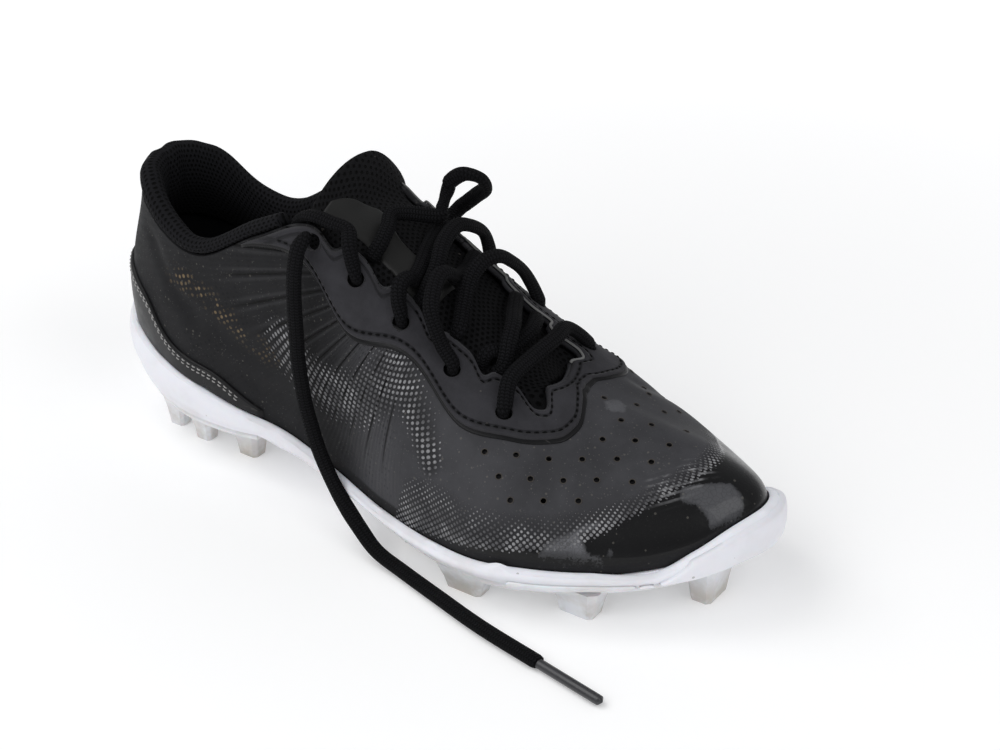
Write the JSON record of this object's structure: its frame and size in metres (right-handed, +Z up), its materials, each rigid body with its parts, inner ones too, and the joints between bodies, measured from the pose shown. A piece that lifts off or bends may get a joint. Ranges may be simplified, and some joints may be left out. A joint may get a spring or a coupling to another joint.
{
  "type": "baseball cleat",
  "caption": "Low right baseball cleat with a moulded studded sole, hollow lace-up upper, padded collar and tongue, and one loose lace end.",
  "frame": {"origin": "middle of the shoe's bounding box, on the plane of the stud tips, without the free lace end and loop", "axes": "+X from heel to toe, +Y to the medial side, +Z up"},
  "size_m": [0.2816, 0.1282, 0.1193],
  "materials": {
    "upper": "coated knit with a thin satin film, near black",
    "eyestay": "matt synthetic nubuck, charcoal",
    "heel_counter": "smooth satin moulded film, black",
    "collar_lining": "padded air mesh, black",
    "tongue": "padded air mesh, black",
    "insole": "fabric over foam board, black",
    "midsole": "moulded foam, white, satin",
    "studded_rubber": "moulded rubber, white, light grime",
    "lace": "braided oval lace, black",
    "lace_tip": "shrunk plastic sleeve, dark grey"
  },
  "bodies": {
    "root": {"upper": "upper", "eyestay": "eyestay", "heel_counter": "heel_counter", "collar_lining": "collar_lining", "tongue": "tongue", "insole": "insole", "midsole": "midsole", "forefoot_plate": "studded_rubber", "heel_plate": "studded_rubber", "lace_bar": "lace", "lace_cross_1": "lace", "lace_cross_2": "lace", "lace_cross_3": "lace", "lace_cross_4": "lace", "lace_end": "lace", "lace_loop": "lace", "lace_tip": "lace_tip"}
  },
  "joints": []
}
